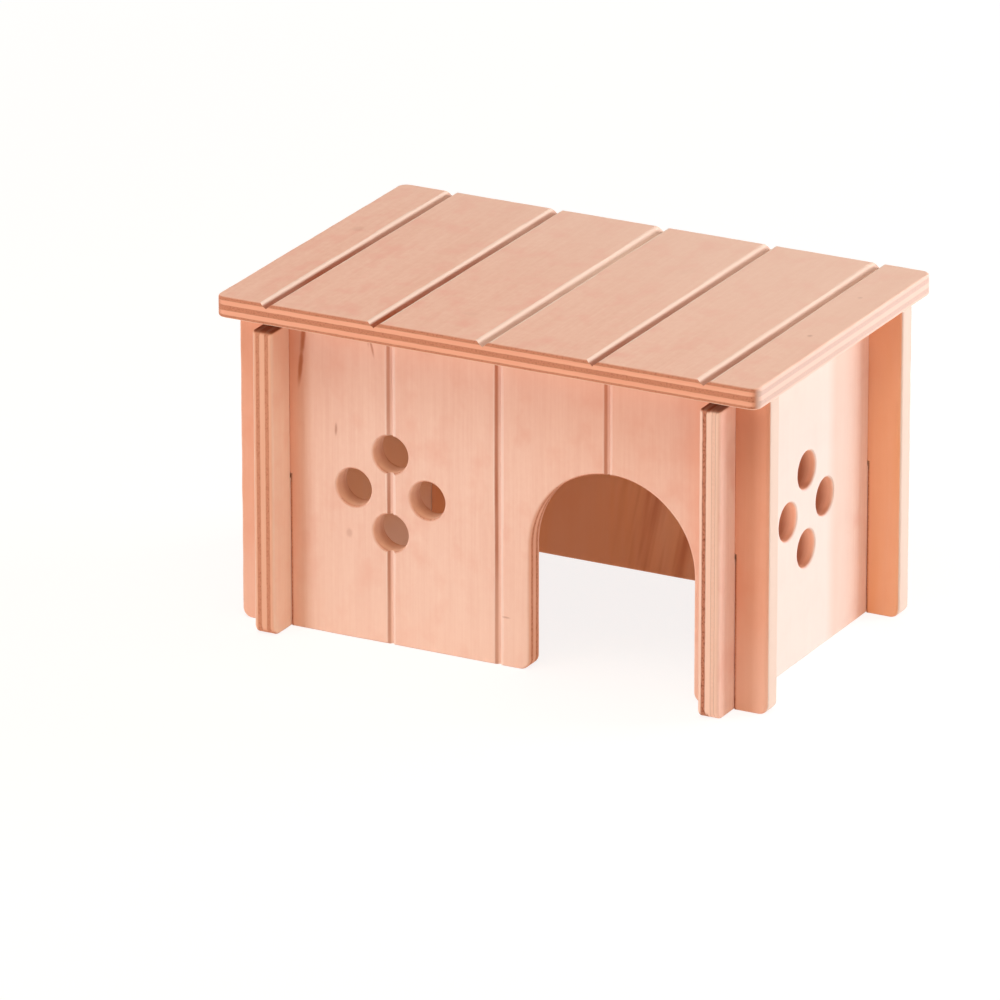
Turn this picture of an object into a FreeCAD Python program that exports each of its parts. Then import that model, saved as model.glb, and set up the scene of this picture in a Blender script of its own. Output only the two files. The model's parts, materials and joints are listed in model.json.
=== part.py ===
import FreeCAD, Part
import math
import os
import Sketcher

# A small free-standing plywood house for a hamster, in millimetres.
# Four upright panels cross-lap at the corners, as the boards of a crate do: the front and rear
# walls are slotted from below and drop over the side walls, which are slotted from above.  All
# the slots are cut to one depth, a little past half way, so every wall stands on the floor, and
# each has a little play, which is pushed to one side.  A grooved roof panel lies on the front
# and rear walls.  Two battens glued under it drop inside the walls, so that it can't slide but
# lifts straight off.  There is no floor.  The front and the right side have vents.
#
# Frame: +X along the front, -Y out of the doorway, +Z up, origin on the floor at the middle.

SIZES = {
    # the whole house
    "house_height": 85.0,
    "chamber_length": 114.0,
    "chamber_depth": 66.4,
    # the roof
    "roof_length": 145.0,
    "roof_depth": 95.0,
    "roof_thickness": 5.4,
    "roof_corner_radius": 2.5,
    "roof_groove_pitch": 29.2,
    "roof_groove_count": 5,
    "roof_groove_width": 3.2,
    "roof_groove_depth": 1.3,
    # the battens under the roof
    "batten_width": 8.0,
    "batten_thickness": 5.6,
    "batten_clearance": 1.0,
    # all four walls
    "wall_thickness": 5.6,
    "front_tab": 8.5,
    "side_tab": 8.2,
    "side_wall_drop": 1.9,
    "lap_depth": 40.0,
    "lap_play": 0.7,
    "foot_radius": 2.5,
    "top_corner_radius": 1.2,
    "arris_chamfer": 0.5,
    # the doorway, measured from the middle of the front
    "door_width": 44.0,
    "door_height": 53.5,
    "door_offset": 29.5,
    # the grooves in the front wall
    "wall_groove_pitch": 29.2,
    "wall_groove_count": 3,
    "wall_groove_shift": -1.1,
    "wall_groove_width": 2.6,
    "wall_groove_depth": 1.1,
    # the groups of vent holes
    "vent_count": 4,
    "vent_diameter": 9.5,
    "vent_spread": 10.0,
    "vent_chamfer": 0.4,
    "front_vent_offset": -30.0,
    "front_vent_height": 38.7,
    "side_vent_height": 38.0,
}

# Lengths that follow from the driving sizes
WALL_HEIGHT = "(Sizes.house_height - Sizes.roof_thickness)"
SIDE_WALL_HEIGHT = f"({WALL_HEIGHT} - Sizes.side_wall_drop)"
FRONT_WALL_LENGTH = "(Sizes.chamber_length + 2 * (Sizes.wall_thickness + Sizes.front_tab))"
SIDE_WALL_LENGTH = "(Sizes.chamber_depth + 2 * (Sizes.wall_thickness + Sizes.side_tab))"
SLOT_WIDTH = "(Sizes.wall_thickness + Sizes.lap_play)"
BATTEN_LENGTH = "(Sizes.chamber_length - 2 * Sizes.batten_clearance)"

X_AXIS = FreeCAD.Vector(1, 0, 0)
Y_AXIS = FreeCAD.Vector(0, 1, 0)
Z_AXIS = FreeCAD.Vector(0, 0, 1)
HALF_TURN = FreeCAD.Rotation(Z_AXIS, 180)
NEAR = 0.001

# The sketcher's own numbers for the points of a line or an arc, and for a sketch's two axes
START, END, CENTRE = range(1, 4)
VERTICAL_AXIS, HORIZONTAL_AXIS = range(-2, 0)
ORIGIN = (HORIZONTAL_AXIS, START)

doc = FreeCAD.newDocument("hamster_house")


# ---- the spreadsheet -------------------------------------------------------------------------

def make_sheet():
    """Write every driving size into the spreadsheet as plain text with an alias."""
    table = doc.addObject("Spreadsheet::Sheet", "Sizes")
    for row, (alias, amount) in enumerate(SIZES.items(), start=1):
        table.set(f"A{row}", alias)
        table.set(f"B{row}", str(amount))
        table.setAlias(f"B{row}", alias)
    doc.recompute()
    return table


sheet = make_sheet()


# ---- sketches --------------------------------------------------------------------------------

def origin_plane(body, role):
    """Find one of a body's own origin planes by its role."""
    for feature in body.Origin.OriginFeatures:
        if feature.Role == role:
            return feature
    raise ValueError(f"{body.Label} has no {role}")


def add_sketch(body, name, plane, across="0", along="0", out="0"):
    """Add a sketch on an origin plane, with its own origin moved by three expressions."""
    sketch = body.newObject("Sketcher::SketchObject", name)
    sketch.AttachmentSupport = (origin_plane(body, plane), [""])
    sketch.MapMode = "FlatFace"
    sketch.setExpression("AttachmentOffset.Base.x", across)
    sketch.setExpression("AttachmentOffset.Base.y", along)
    sketch.setExpression("AttachmentOffset.Base.z", out)
    return sketch


def constrain(sketch, kind, *references, name=None, value=None):
    """Add a constraint, and tie it to an expression where it has one."""
    if value is None:
        sketch.addConstraint(Sketcher.Constraint(kind, *references))
        return
    index = sketch.addConstraint(Sketcher.Constraint(kind, *references, 1.0))
    sketch.renameConstraint(index, name)
    sketch.setExpression(f"Constraints.{name}", value)


def draw_lines(sketch, corners, closed=True):
    """Draw straight lines from corner to corner, joined end to start."""
    points = [FreeCAD.Vector(x, y, 0) for x, y in corners]
    if closed:
        points.append(points[0])
    lines = []
    for begin, finish in zip(points, points[1:]):
        lines.append(sketch.addGeometry(Part.LineSegment(begin, finish), False))
    for line, following in zip(lines, lines[1:]):
        constrain(sketch, "Coincident", line, END, following, START)
    if closed:
        constrain(sketch, "Coincident", lines[-1], END, lines[0], START)
    return lines


def centre_on_origin(sketch, line, width):
    """Lay a line along the sketch's horizontal axis, centred, with its length tied."""
    constrain(sketch, "Horizontal", line)
    constrain(sketch, "Symmetric", line, START, line, END, *ORIGIN)
    constrain(sketch, "DistanceX", line, START, line, END, name="width", value=width)


def draw_rectangle(sketch, width, height):
    """Draw a rectangle that stands on the sketch's origin, centred on its vertical axis."""
    bottom, right, top, left = draw_lines(sketch, [(-1, 0), (1, 0), (1, 2), (-1, 2)])
    centre_on_origin(sketch, bottom, width)
    constrain(sketch, "Horizontal", top)
    constrain(sketch, "Vertical", right)
    constrain(sketch, "Vertical", left)
    constrain(sketch, "DistanceY", right, START, right, END, name="height", value=height)


def draw_doorway(sketch, width, height):
    """Draw a doorway with upright jambs and a semicircular arch, standing on the origin."""
    left, sill, right = draw_lines(sketch, [(-1, 1), (-1, 0), (1, 0), (1, 1)], closed=False)
    circle = Part.Circle(Y_AXIS, Z_AXIS, 1)
    arch = sketch.addGeometry(Part.ArcOfCircle(circle, 0, math.pi), False)
    centre_on_origin(sketch, sill, width)
    constrain(sketch, "Vertical", left)
    constrain(sketch, "Vertical", right)
    constrain(sketch, "Tangent", right, END, arch, START)
    constrain(sketch, "Tangent", arch, END, left, START)
    springing = f"{height} - {width} / 2"
    constrain(sketch, "DistanceY", *ORIGIN, arch, CENTRE, name="springing", value=springing)


def draw_circle(sketch, diameter, height):
    """Draw a circle on the sketch's vertical axis."""
    ring = sketch.addGeometry(Part.Circle(Y_AXIS, Z_AXIS, 1), False)
    constrain(sketch, "PointOnObject", ring, CENTRE, VERTICAL_AXIS)
    constrain(sketch, "DistanceY", *ORIGIN, ring, CENTRE, name="spread", value=height)
    constrain(sketch, "Diameter", ring, name="diameter", value=diameter)


def draw_groove(sketch, width, depth, upward):
    """Draw a V with its mouth on the sketch's horizontal axis and its root above or below."""
    root_side = 1 if upward else -1
    mouth, slope, other_slope = draw_lines(sketch, [(-1, 0), (1, 0), (0, root_side)])
    centre_on_origin(sketch, mouth, width)
    constrain(sketch, "PointOnObject", slope, END, VERTICAL_AXIS)
    levels = [ORIGIN, (slope, END)]
    if not upward:
        levels.reverse()
    constrain(sketch, "DistanceY", *levels[0], *levels[1], name="depth", value=depth)


# ---- features --------------------------------------------------------------------------------

def pad(body, sketch, name, thickness, reverse=False):
    """Pad a sketch to a thickness."""
    feature = body.newObject("PartDesign::Pad", name)
    feature.Profile = sketch
    feature.Reversed = reverse
    feature.setExpression("Length", thickness)
    doc.recompute()
    return feature


def pocket(body, sketch, name, reverse=False):
    """Cut a sketch through the whole body, and make sure that it took wood away."""
    before = body.Shape.Volume
    feature = body.newObject("PartDesign::Pocket", name)
    feature.Profile = sketch
    feature.Type = "ThroughAll"
    feature.Reversed = reverse
    doc.recompute()
    if feature.Shape.Volume > before - NEAR:
        raise ValueError(f"{body.Label}: {name} cuts nothing")
    return feature


def mirror(body, name, feature, plane):
    """Mirror a feature in one of the body's origin planes."""
    copy = body.newObject("PartDesign::Mirrored", name)
    copy.Originals = [feature]
    copy.MirrorPlane = (origin_plane(body, plane), [""])
    body.Tip = copy
    doc.recompute()


def repeat_along(body, name, feature, sketch, pitch, count):
    """Repeat a feature at a pitch along its sketch's horizontal axis."""
    row = body.newObject("PartDesign::LinearPattern", name)
    row.Originals = [feature]
    row.Direction = (sketch, ["H_Axis"])
    row.setExpression("Length", f"{pitch} * ({count} - 1)")
    row.setExpression("Occurrences", count)
    body.Tip = row
    doc.recompute()


def repeat_round(body, name, feature, sketch, count):
    """Repeat a feature round its sketch's own origin."""
    ring = body.newObject("PartDesign::PolarPattern", name)
    ring.Originals = [feature]
    ring.Axis = (sketch, ["N_Axis"])
    ring.Angle = 360
    ring.setExpression("Occurrences", count)
    body.Tip = ring
    doc.recompute()


def dress(body, kind, name, amount_name, amount, test):
    """Fillet or chamfer every edge of the body that passes a test."""
    base = body.Tip
    edges = [f"Edge{i}" for i, edge in enumerate(base.Shape.Edges, start=1) if test(edge)]
    feature = body.newObject(f"PartDesign::{kind}", name)
    feature.Base = (base, edges)
    feature.setExpression(amount_name, amount)
    doc.recompute()


def runs_along(edge, direction):
    """Tell whether an edge is straight and parallel to a direction."""
    if edge.Curve.TypeId != "Part::GeomLine":
        return False
    return abs(abs(edge.Curve.Direction.dot(direction)) - 1) < NEAR


def lies_at(edge, direction, distance):
    """Tell whether both ends of an edge lie at one distance along a direction."""
    return all(abs(vertex.Point.dot(direction) - distance) < NEAR for vertex in edge.Vertexes)


def is_vent_rim(edge):
    """Tell whether an edge is the rim of a vent hole."""
    return edge.Curve.TypeId == "Part::GeomCircle" and edge.isClosed()


def round_corners(body, name, radius, across, direction, distance):
    """Round the corners that a panel has at one distance, seen square on."""
    dress(body, "Fillet", name, "Radius", radius,
          lambda edge: runs_along(edge, across) and lies_at(edge, direction, distance))


def ease_arrises(body, across):
    """Take the edges off both broad faces of a panel, apart from the vent holes' rims."""
    box = body.Tip.Shape.BoundBox
    low = FreeCAD.Vector(box.XMin, box.YMin, box.ZMin).dot(across)
    high = FreeCAD.Vector(box.XMax, box.YMax, box.ZMax).dot(across)
    dress(body, "Chamfer", "Arrises", "Size", "Sizes.arris_chamfer",
          lambda edge: not is_vent_rim(edge)
          and (lies_at(edge, across, low) or lies_at(edge, across, high)))


# ---- panels ----------------------------------------------------------------------------------

def add_body(name):
    """Add an empty body whose label is also the name of its file."""
    body = doc.addObject("PartDesign::Body", name)
    body.Label = name
    return body


def add_flat_panel(name, length, depth, thickness):
    """Make a flat panel on the XY plane, centred on the origin, with its underside at zero."""
    body = add_body(name)
    outline = add_sketch(body, "Outline", "XY_Plane", along=f"-{depth} / 2")
    draw_rectangle(outline, length, depth)
    pad(body, outline, "Panel", thickness)
    return body


def round_wall_corners(body, across):
    """Round a wall's feet, with any doorway's, and its two top corners."""
    round_corners(body, "Feet", "Sizes.foot_radius", across, Z_AXIS, 0)
    top = body.Tip.Shape.BoundBox.ZMax
    round_corners(body, "TopCorners", "Sizes.top_corner_radius", across, Z_AXIS, top)


def drill_vents(body, plane, offset, height, reverse=False):
    """Drill one group of vent holes through a wall and take the sharp rims off."""
    sketch = add_sketch(body, "VentSketch", plane, offset, height)
    draw_circle(sketch, "Sizes.vent_diameter", "Sizes.vent_spread")
    hole = pocket(body, sketch, "Vent", reverse)
    repeat_round(body, "Vents", hole, sketch, "Sizes.vent_count")
    dress(body, "Chamfer", "VentRims", "Size", "Sizes.vent_chamfer", is_vent_rim)


def add_long_wall(name):
    """Make a blank for the front or rear wall, with its outer face on the XZ plane."""
    body = add_body(name)
    outline = add_sketch(body, "Outline", "XZ_Plane")
    draw_rectangle(outline, FRONT_WALL_LENGTH, WALL_HEIGHT)
    pad(body, outline, "Panel", "Sizes.wall_thickness", reverse=True)
    return body


def slot_long_wall(body):
    """Cut the two slots, open at the floor, that drop over the side walls."""
    middle = "Sizes.chamber_length / 2 + Sizes.wall_thickness / 2"
    sketch = add_sketch(body, "SlotSketch", "XZ_Plane", middle)
    draw_rectangle(sketch, SLOT_WIDTH, "Sizes.lap_depth")
    slot = pocket(body, sketch, "Slot")
    mirror(body, "Slots", slot, "YZ_Plane")


def stand_long_wall(body, side):
    """Stand a long wall at the front (-1) or the rear (1), pushed to the right in its joints."""
    if side > 0:
        body.Placement.Rotation = HALF_TURN
    body.setExpression("Placement.Base.x", "Sizes.lap_play / 2")
    body.setExpression("Placement.Base.y", f"{side} * (Sizes.chamber_depth / 2 + Sizes.wall_thickness)")


def groove_front_wall(body):
    """Rout the upright V-grooves that make the front look planked."""
    first = "Sizes.wall_groove_shift - Sizes.wall_groove_pitch * (Sizes.wall_groove_count - 1) / 2"
    sketch = add_sketch(body, "GrooveSketch", "XY_Plane", first)
    draw_groove(sketch, "Sizes.wall_groove_width", "Sizes.wall_groove_depth", upward=True)
    groove = pocket(body, sketch, "Groove", reverse=True)
    repeat_along(body, "Grooves", groove, sketch, "Sizes.wall_groove_pitch", "Sizes.wall_groove_count")


def make_front_wall():
    """The front wall has the arched doorway on the right and a group of vents on the left."""
    body = add_long_wall("front_wall")
    doorway = add_sketch(body, "DoorwaySketch", "XZ_Plane", "Sizes.door_offset")
    draw_doorway(doorway, "Sizes.door_width", "Sizes.door_height")
    pocket(body, doorway, "Doorway")
    round_wall_corners(body, Y_AXIS)
    ease_arrises(body, Y_AXIS)
    drill_vents(body, "XZ_Plane", "Sizes.front_vent_offset", "Sizes.front_vent_height")
    slot_long_wall(body)
    groove_front_wall(body)
    stand_long_wall(body, -1)
    return body


def make_rear_wall():
    """The rear wall is a plain slotted panel."""
    body = add_long_wall("rear_wall")
    round_wall_corners(body, Y_AXIS)
    ease_arrises(body, Y_AXIS)
    slot_long_wall(body)
    stand_long_wall(body, 1)
    return body


def make_side_wall(name, side):
    """A side wall is slotted from above.  The right one (1) has vents, and the left one (-1) is plain."""
    body = add_body(name)
    outline = add_sketch(body, "Outline", "YZ_Plane")
    draw_rectangle(outline, SIDE_WALL_LENGTH, SIDE_WALL_HEIGHT)
    pad(body, outline, "Panel", "Sizes.wall_thickness", reverse=True)
    round_wall_corners(body, X_AXIS)
    ease_arrises(body, X_AXIS)
    if side > 0:
        drill_vents(body, "YZ_Plane", "0", "Sizes.side_vent_height")
    middle = "Sizes.chamber_depth / 2 + Sizes.wall_thickness / 2"
    slot_sketch = add_sketch(body, "SlotSketch", "YZ_Plane", middle, f"{SIDE_WALL_HEIGHT} - Sizes.lap_depth")
    draw_rectangle(slot_sketch, SLOT_WIDTH, "Sizes.lap_depth")
    slot = pocket(body, slot_sketch, "Slot")
    mirror(body, "Slots", slot, "XZ_Plane")
    if side < 0:
        body.Placement.Rotation = HALF_TURN
    body.setExpression("Placement.Base.x", f"{side} * (Sizes.chamber_length / 2 + Sizes.wall_thickness)")
    body.setExpression("Placement.Base.y", "-Sizes.lap_play / 2")
    return body


# ---- the roof --------------------------------------------------------------------------------

def make_roof_panel():
    """The roof is one panel with V-grooves from front to back, which make it look planked."""
    body = add_flat_panel("roof_panel", "Sizes.roof_length", "Sizes.roof_depth", "Sizes.roof_thickness")
    dress(body, "Fillet", "Corners", "Radius", "Sizes.roof_corner_radius",
          lambda edge: runs_along(edge, Z_AXIS))
    ease_arrises(body, Z_AXIS)
    first = "-Sizes.roof_groove_pitch * (Sizes.roof_groove_count - 1) / 2"
    sketch = add_sketch(body, "GrooveSketch", "XZ_Plane", first, "Sizes.roof_thickness",
                        "Sizes.roof_depth / 2")
    draw_groove(sketch, "Sizes.roof_groove_width", "Sizes.roof_groove_depth", upward=False)
    groove = pocket(body, sketch, "Groove")
    repeat_along(body, "Grooves", groove, sketch, "Sizes.roof_groove_pitch", "Sizes.roof_groove_count")
    body.setExpression("Placement.Base.z", WALL_HEIGHT)
    return body


def make_batten(name, side):
    """A batten is glued under the roof, just inside the front (-1) or the rear (1) wall."""
    body = add_flat_panel(name, BATTEN_LENGTH, "Sizes.batten_width", "Sizes.batten_thickness")
    ease_arrises(body, Z_AXIS)
    from_middle = "Sizes.chamber_depth / 2 - Sizes.batten_clearance - Sizes.batten_width / 2"
    body.setExpression("Placement.Base.y", f"{side} * ({from_middle})")
    body.setExpression("Placement.Base.z", f"{WALL_HEIGHT} - Sizes.batten_thickness")
    return body


# ---- making and writing the pieces -----------------------------------------------------------

def check_document():
    """Stop if any object of the document failed to compute, or if a sketch isn't fully constrained."""
    for item in doc.Objects:
        if "Invalid" in item.State or "Error" in item.State:
            raise ValueError(f"{item.Label} failed: {item.State}")
        if item.TypeId == "Sketcher::SketchObject" and not item.FullyConstrained:
            raise ValueError(f"{item.Label} isn't fully constrained")


def write_step(body):
    """Check one piece and write it to its own file."""
    shape = body.Shape
    if shape.isNull() or not shape.isValid() or len(shape.Solids) != 1:
        raise ValueError(f"{body.Label} isn't one valid solid")
    shape.exportStep(os.path.join("parts", f"{body.Label}.step"))
    box = shape.BoundBox
    print(f"{body.Label:18s} {box.XLength:7.2f} x {box.YLength:6.2f} x {box.ZLength:6.2f} mm,"
          f" {shape.Volume / 1000:7.2f} cm3, {len(shape.Faces)} faces")


pieces = [
    make_front_wall(),
    make_rear_wall(),
    make_side_wall("left_side_wall", -1),
    make_side_wall("right_side_wall", 1),
    make_roof_panel(),
    make_batten("roof_batten_front", -1),
    make_batten("roof_batten_rear", 1),
]
doc.recompute()
check_document()
os.makedirs("parts", exist_ok=True)
for piece in pieces:
    write_step(piece)
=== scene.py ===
import json
import math

import bmesh
import bpy
import numpy as np
from mathutils import Matrix, Vector, noise
from mathutils.geometry import tessellate_polygon


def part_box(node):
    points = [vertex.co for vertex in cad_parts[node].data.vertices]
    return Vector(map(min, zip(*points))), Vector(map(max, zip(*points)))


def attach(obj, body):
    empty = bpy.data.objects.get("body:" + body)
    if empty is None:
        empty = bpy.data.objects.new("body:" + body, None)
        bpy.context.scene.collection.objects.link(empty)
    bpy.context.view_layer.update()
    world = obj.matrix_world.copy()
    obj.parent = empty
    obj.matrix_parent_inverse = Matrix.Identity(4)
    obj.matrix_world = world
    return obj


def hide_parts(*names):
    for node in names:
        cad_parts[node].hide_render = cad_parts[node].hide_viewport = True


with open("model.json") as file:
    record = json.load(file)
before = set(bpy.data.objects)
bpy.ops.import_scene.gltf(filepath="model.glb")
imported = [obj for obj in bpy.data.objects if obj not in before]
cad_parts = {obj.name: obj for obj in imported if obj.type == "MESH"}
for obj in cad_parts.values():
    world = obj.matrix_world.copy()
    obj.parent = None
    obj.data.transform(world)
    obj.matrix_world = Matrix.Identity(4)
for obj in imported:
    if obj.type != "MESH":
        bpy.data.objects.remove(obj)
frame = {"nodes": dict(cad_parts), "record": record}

# A plywood hamster house: four walls that cross-lap at the corners, and a loose roof with two
# battens under it.  Every board is made here as a workshop would make it: sawn to its outline
# with its arrises sanded round, then drilled for air and grooved with a V-bit.
#
# Lengths are in metres, in the frame of the solids: +X along the front, -Y out of the doorway,
# +Z up, origin on the floor.

MM = 0.001
X, Y, Z = 0, 1, 2

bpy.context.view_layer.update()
boxes = {name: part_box(name) for name in frame["nodes"]}

# a board's axes: across the grain of its face, along it and through the board
LONG_WALL = (X, Z, Y)
SIDE_WALL = (Y, Z, X)
ROOF = (X, Y, Z)
BATTEN = (Y, X, Z)

# ---- sizes -----------------------------------------------------------------------------------

# the corners and arrises of the boards; sanding by hand leaves an arris uneven
FOOT_RADIUS = 2.5 * MM
TOP_CORNER_RADIUS = 1.2 * MM
ROOF_CORNER_RADIUS = 2.6 * MM
SAWN_RADIUS = 0.25 * MM
SANDED_ARRIS = 0.6 * MM
TAB_ARRIS = 1.0 * MM
BATTEN_ARRIS = 0.4 * MM
SAWN_ARRIS = 0.14 * MM
ARRIS_UNEVENNESS = 0.22
HAND_STROKE = 5.0 * MM

# how finely the meshes are made; the margin between an edge and its flat face is in arrises
RUN_STEP = 1.6 * MM
ARC_STEP = 0.45 * MM
ARC_STEPS_AT_LEAST = 4
ARRIS_STEPS = 6
FLAT_MARGIN = 1.3
BIT_COLUMNS, BIT_ROWS = 25, 240
DRILL_SIDES, DRILL_LEVELS = 72, 64
NEAR = 0.001 * MM
SHARP_ANGLE = math.radians(32)

# cutters go past the faces by the clearance, and are turned to face a long wall or a side wall
CLEARANCE = 1.0 * MM
TO_LONG_WALL = (math.pi / 2, 0, 0)
TO_SIDE_WALL = (0, math.pi / 2, 0)

LAP_DEPTH = 39.5 * MM
LAP_PLAY = 0.1 * MM

DOOR_WIDTH = 44.0 * MM
DOOR_HEIGHT = 53.5 * MM
DOOR_OFFSET = 29.5 * MM

# A bit wanders a little, and tears fibres at a groove's edges.  A lip carries the groove's slope
# out by a share of its own height.
GROOVE_PITCH = 29.2 * MM
ROOF_GROOVE_COUNT = 5
ROOF_GROOVE_WIDTH = 3.2 * MM
ROOF_GROOVE_DEPTH = 1.3 * MM
ROOF_GROOVE_LIP = 0.4 * MM
ROOF_GROOVE_SHIFT = -0.1 * MM
ROOF_GROOVE_WANDER = 0.12 * MM
ROOF_GROOVE_TEAR = 0.05 * MM
WALL_GROOVE_COUNT = 3
WALL_GROOVE_SHIFT = -0.75 * MM
WALL_GROOVE_WIDTH = 2.1 * MM
WALL_GROOVE_DEPTH = 1.1 * MM
WALL_GROOVE_LIP = 0.45 * MM
WALL_GROOVE_WANDER = 0.08 * MM
WALL_GROOVE_TEAR = 0.04 * MM
LIP_REACH = 0.95

VENT_COUNT = 4
VENT_DIAMETER = 9.5 * MM
VENT_SPREAD = 10.0 * MM
VENT_RIM = 0.55 * MM
FRONT_VENT_OFFSET = -30.0 * MM
FRONT_VENT_HEIGHT = 38.7 * MM
SIDE_VENT_HEIGHT = 38.0 * MM


# ---- node trees ------------------------------------------------------------------------------

class Wire:
    """An output socket of a node tree.  Arithmetic on it adds Math nodes to that tree."""

    def __init__(self, tree, socket=None):
        self.tree = tree
        self.socket = socket

    def node(self, kind, settings=None, inputs=None, out=0):
        """Add a node, set it up, feed its inputs and return one of its outputs."""
        made = self.tree.nodes.new(kind)
        for name, value in (settings or {}).items():
            setattr(made, name, value)
        for name, value in (inputs or {}).items():
            if isinstance(value, Wire):
                self.tree.links.new(value.socket, made.inputs[name])
            else:
                made.inputs[name].default_value = value
        return Wire(self.tree, made.outputs[out])

    def math(self, operation, *values):
        """Add a Math node."""
        return self.node("ShaderNodeMath", {"operation": operation}, dict(enumerate(values)))

    def __add__(self, other):
        return self.math("ADD", self, other)

    def __radd__(self, other):
        return self.math("ADD", other, self)

    def __sub__(self, other):
        return self.math("SUBTRACT", self, other)

    def __rsub__(self, other):
        return self.math("SUBTRACT", other, self)

    def __mul__(self, other):
        return self.math("MULTIPLY", self, other)

    def __rmul__(self, other):
        return self.math("MULTIPLY", other, self)

    def __truediv__(self, other):
        return self.math("DIVIDE", self, other)

    def __pow__(self, other):
        return self.math("POWER", self, other)

    def __lt__(self, other):
        return self.math("LESS_THAN", self, other)

    def __gt__(self, other):
        return self.math("GREATER_THAN", self, other)

    def __abs__(self):
        return self.math("ABSOLUTE", self)


def rise(value, start, end):
    """0 up to the start and 1 from the end on, with a smooth rise between them."""
    return value.node("ShaderNodeMapRange", {"interpolation_type": "SMOOTHSTEP"},
                      {"Value": value, "From Min": start, "From Max": end})


def held(value, low=0.0, high=1.0):
    """A value held between two limits."""
    return value.math("MAXIMUM", low, value.math("MINIMUM", high, value))


def split(vector):
    """The three parts of a vector."""
    parts = vector.node("ShaderNodeSeparateXYZ", None, {"Vector": vector}).socket.node.outputs
    return [Wire(vector.tree, part) for part in parts]


def join(*parts):
    """A vector from three parts, at least one of which is a wire."""
    wire = next(part for part in parts if isinstance(part, Wire))
    return wire.node("ShaderNodeCombineXYZ", None, dict(enumerate(parts)))


def waves(vector, detail=2.0):
    """Smooth noise from about -1 to 1, with features about one unit across."""
    noisy = vector.node("ShaderNodeTexNoise", None, {
        "Vector": vector, "Scale": 1.0, "Detail": detail})
    return noisy * 2 - 1


def blend(factor, first, second):
    """One colour changing into another."""
    return factor.node("ShaderNodeMix", {"data_type": "RGBA"}, {
        0: factor, 6: first, 7: second}, out=2)


# ---- boards ----------------------------------------------------------------------------------

def bend(before, corner, after, radius):
    """Points on the arc that rounds one corner of an outline."""
    into = (corner - before).normalized()
    away = (after - corner).normalized()
    clockwise = into.angle_signed(away)
    start = corner - into * abs(radius * math.tan(clockwise / 2))
    to_centre = Vector((-into.y, into.x)) * math.copysign(radius, -clockwise)
    count = max(ARC_STEPS_AT_LEAST, math.ceil(abs(clockwise) * radius / ARC_STEP))
    turns = [Matrix.Rotation(-clockwise * i / count, 2) for i in range(count + 1)]
    return [start + to_centre - turn @ to_centre for turn in turns]


def outline(corners):
    """Points along a closed outline's straight runs and arcs, and the arris at each of them.

    A corner is its two coordinates, its radius and the arris of the run that starts there.
    """
    places = [Vector(corner[:2]) for corner in corners]
    arcs = [bend(places[i - 1], places[i], places[(i + 1) % len(corners)], corners[i][2])
            for i in range(len(corners))]
    points = []
    arrises = []
    for i, arc in enumerate(arcs):
        share = np.linspace(0, 1, len(arc))
        points += arc
        arrises += list(corners[i - 1][3] * (1 - share) + corners[i][3] * share)
        run = arcs[(i + 1) % len(arcs)][0] - arc[-1]
        count = max(1, math.floor(run.length / RUN_STEP))
        points += [arc[-1] + run * k / count for k in range(1, count)]
        arrises += [corners[i][3]] * (count - 1)
    points = np.array(points)
    apart = np.linalg.norm(points - np.roll(points, 1, axis=0), axis=1) > NEAR
    return points[apart], np.array(arrises)[apart]


def anticlockwise(points, arrises):
    """The outline taken so that the wood lies on its left."""
    after = np.roll(points, -1, axis=0)
    area = (points[:, 0] * after[:, 1] - after[:, 0] * points[:, 1]).sum()
    if area < 0:
        return points[::-1], arrises[::-1]
    return points, arrises


def leftward(points):
    """The mitred direction to the left at each point of a closed outline."""
    along = np.roll(points, -1, axis=0) - points
    along /= np.linalg.norm(along, axis=1, keepdims=True)
    left = np.stack([-along[:, 1], along[:, 0]], axis=1)
    both = left + np.roll(left, 1, axis=0)
    return both * 2 / np.maximum((both ** 2).sum(axis=1, keepdims=True), 1)


def rim(points, arrises, face, into_wood, seed):
    """The rings of points that round one arris over, from the flat face to the sawn edge."""
    unevenness = [noise.noise(Vector((*(point / HAND_STROKE), seed))) for point in points]
    arris = arrises[:, None] * (1 + ARRIS_UNEVENNESS * np.array(unevenness)[:, None])
    left = leftward(points)
    rings = [np.hstack([points + left * arris * FLAT_MARGIN, face + arris * 0])]
    for turn in np.linspace(0, math.pi / 2, ARRIS_STEPS):
        inset = arris * (1 - math.sin(turn))
        drop = arris * (1 - math.cos(turn))
        rings.append(np.hstack([points + left * inset, face + into_wood * drop]))
    return rings


def make_board(node, axes, corners, seed):
    """Make the closed board that stands for a solid, from the corners of its outline.

    The axes are those of the outline's two coordinates and of the board's thickness.
    """
    low, high = (corner[axes[2]] for corner in boxes[node])
    points, arrises = anticlockwise(*outline(corners))
    rings = rim(points, arrises, high, -1, seed)
    rings += rim(points, arrises, low, 1, seed + 0.5)[::-1]
    count = len(points)
    vertices = np.vstack(rings)
    faces = []
    for start in range(0, count * (len(rings) - 1), count):
        for i in range(count):
            after = (i + 1) % count
            faces.append((start + i, start + after, start + count + after, start + count + i))
    for ring, start in ((rings[0], 0), (rings[-1], len(vertices) - count)):
        flat = [Vector((*point[:2], 0)) for point in ring]
        faces += [[start + i for i in corner] for corner in tessellate_polygon([flat])]
    placed = np.empty_like(vertices)
    placed[:, list(axes)] = vertices
    mesh = bpy.data.meshes.new(node)
    mesh.from_pydata(placed.tolist(), [], faces)
    shape = bmesh.new()
    shape.from_mesh(mesh)
    bmesh.ops.recalc_face_normals(shape, faces=shape.faces)
    shape.to_mesh(mesh)
    shape.free()
    board = bpy.data.objects.new(f"{node}_board", mesh)
    bpy.context.scene.collection.objects.link(board)
    return board


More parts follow.
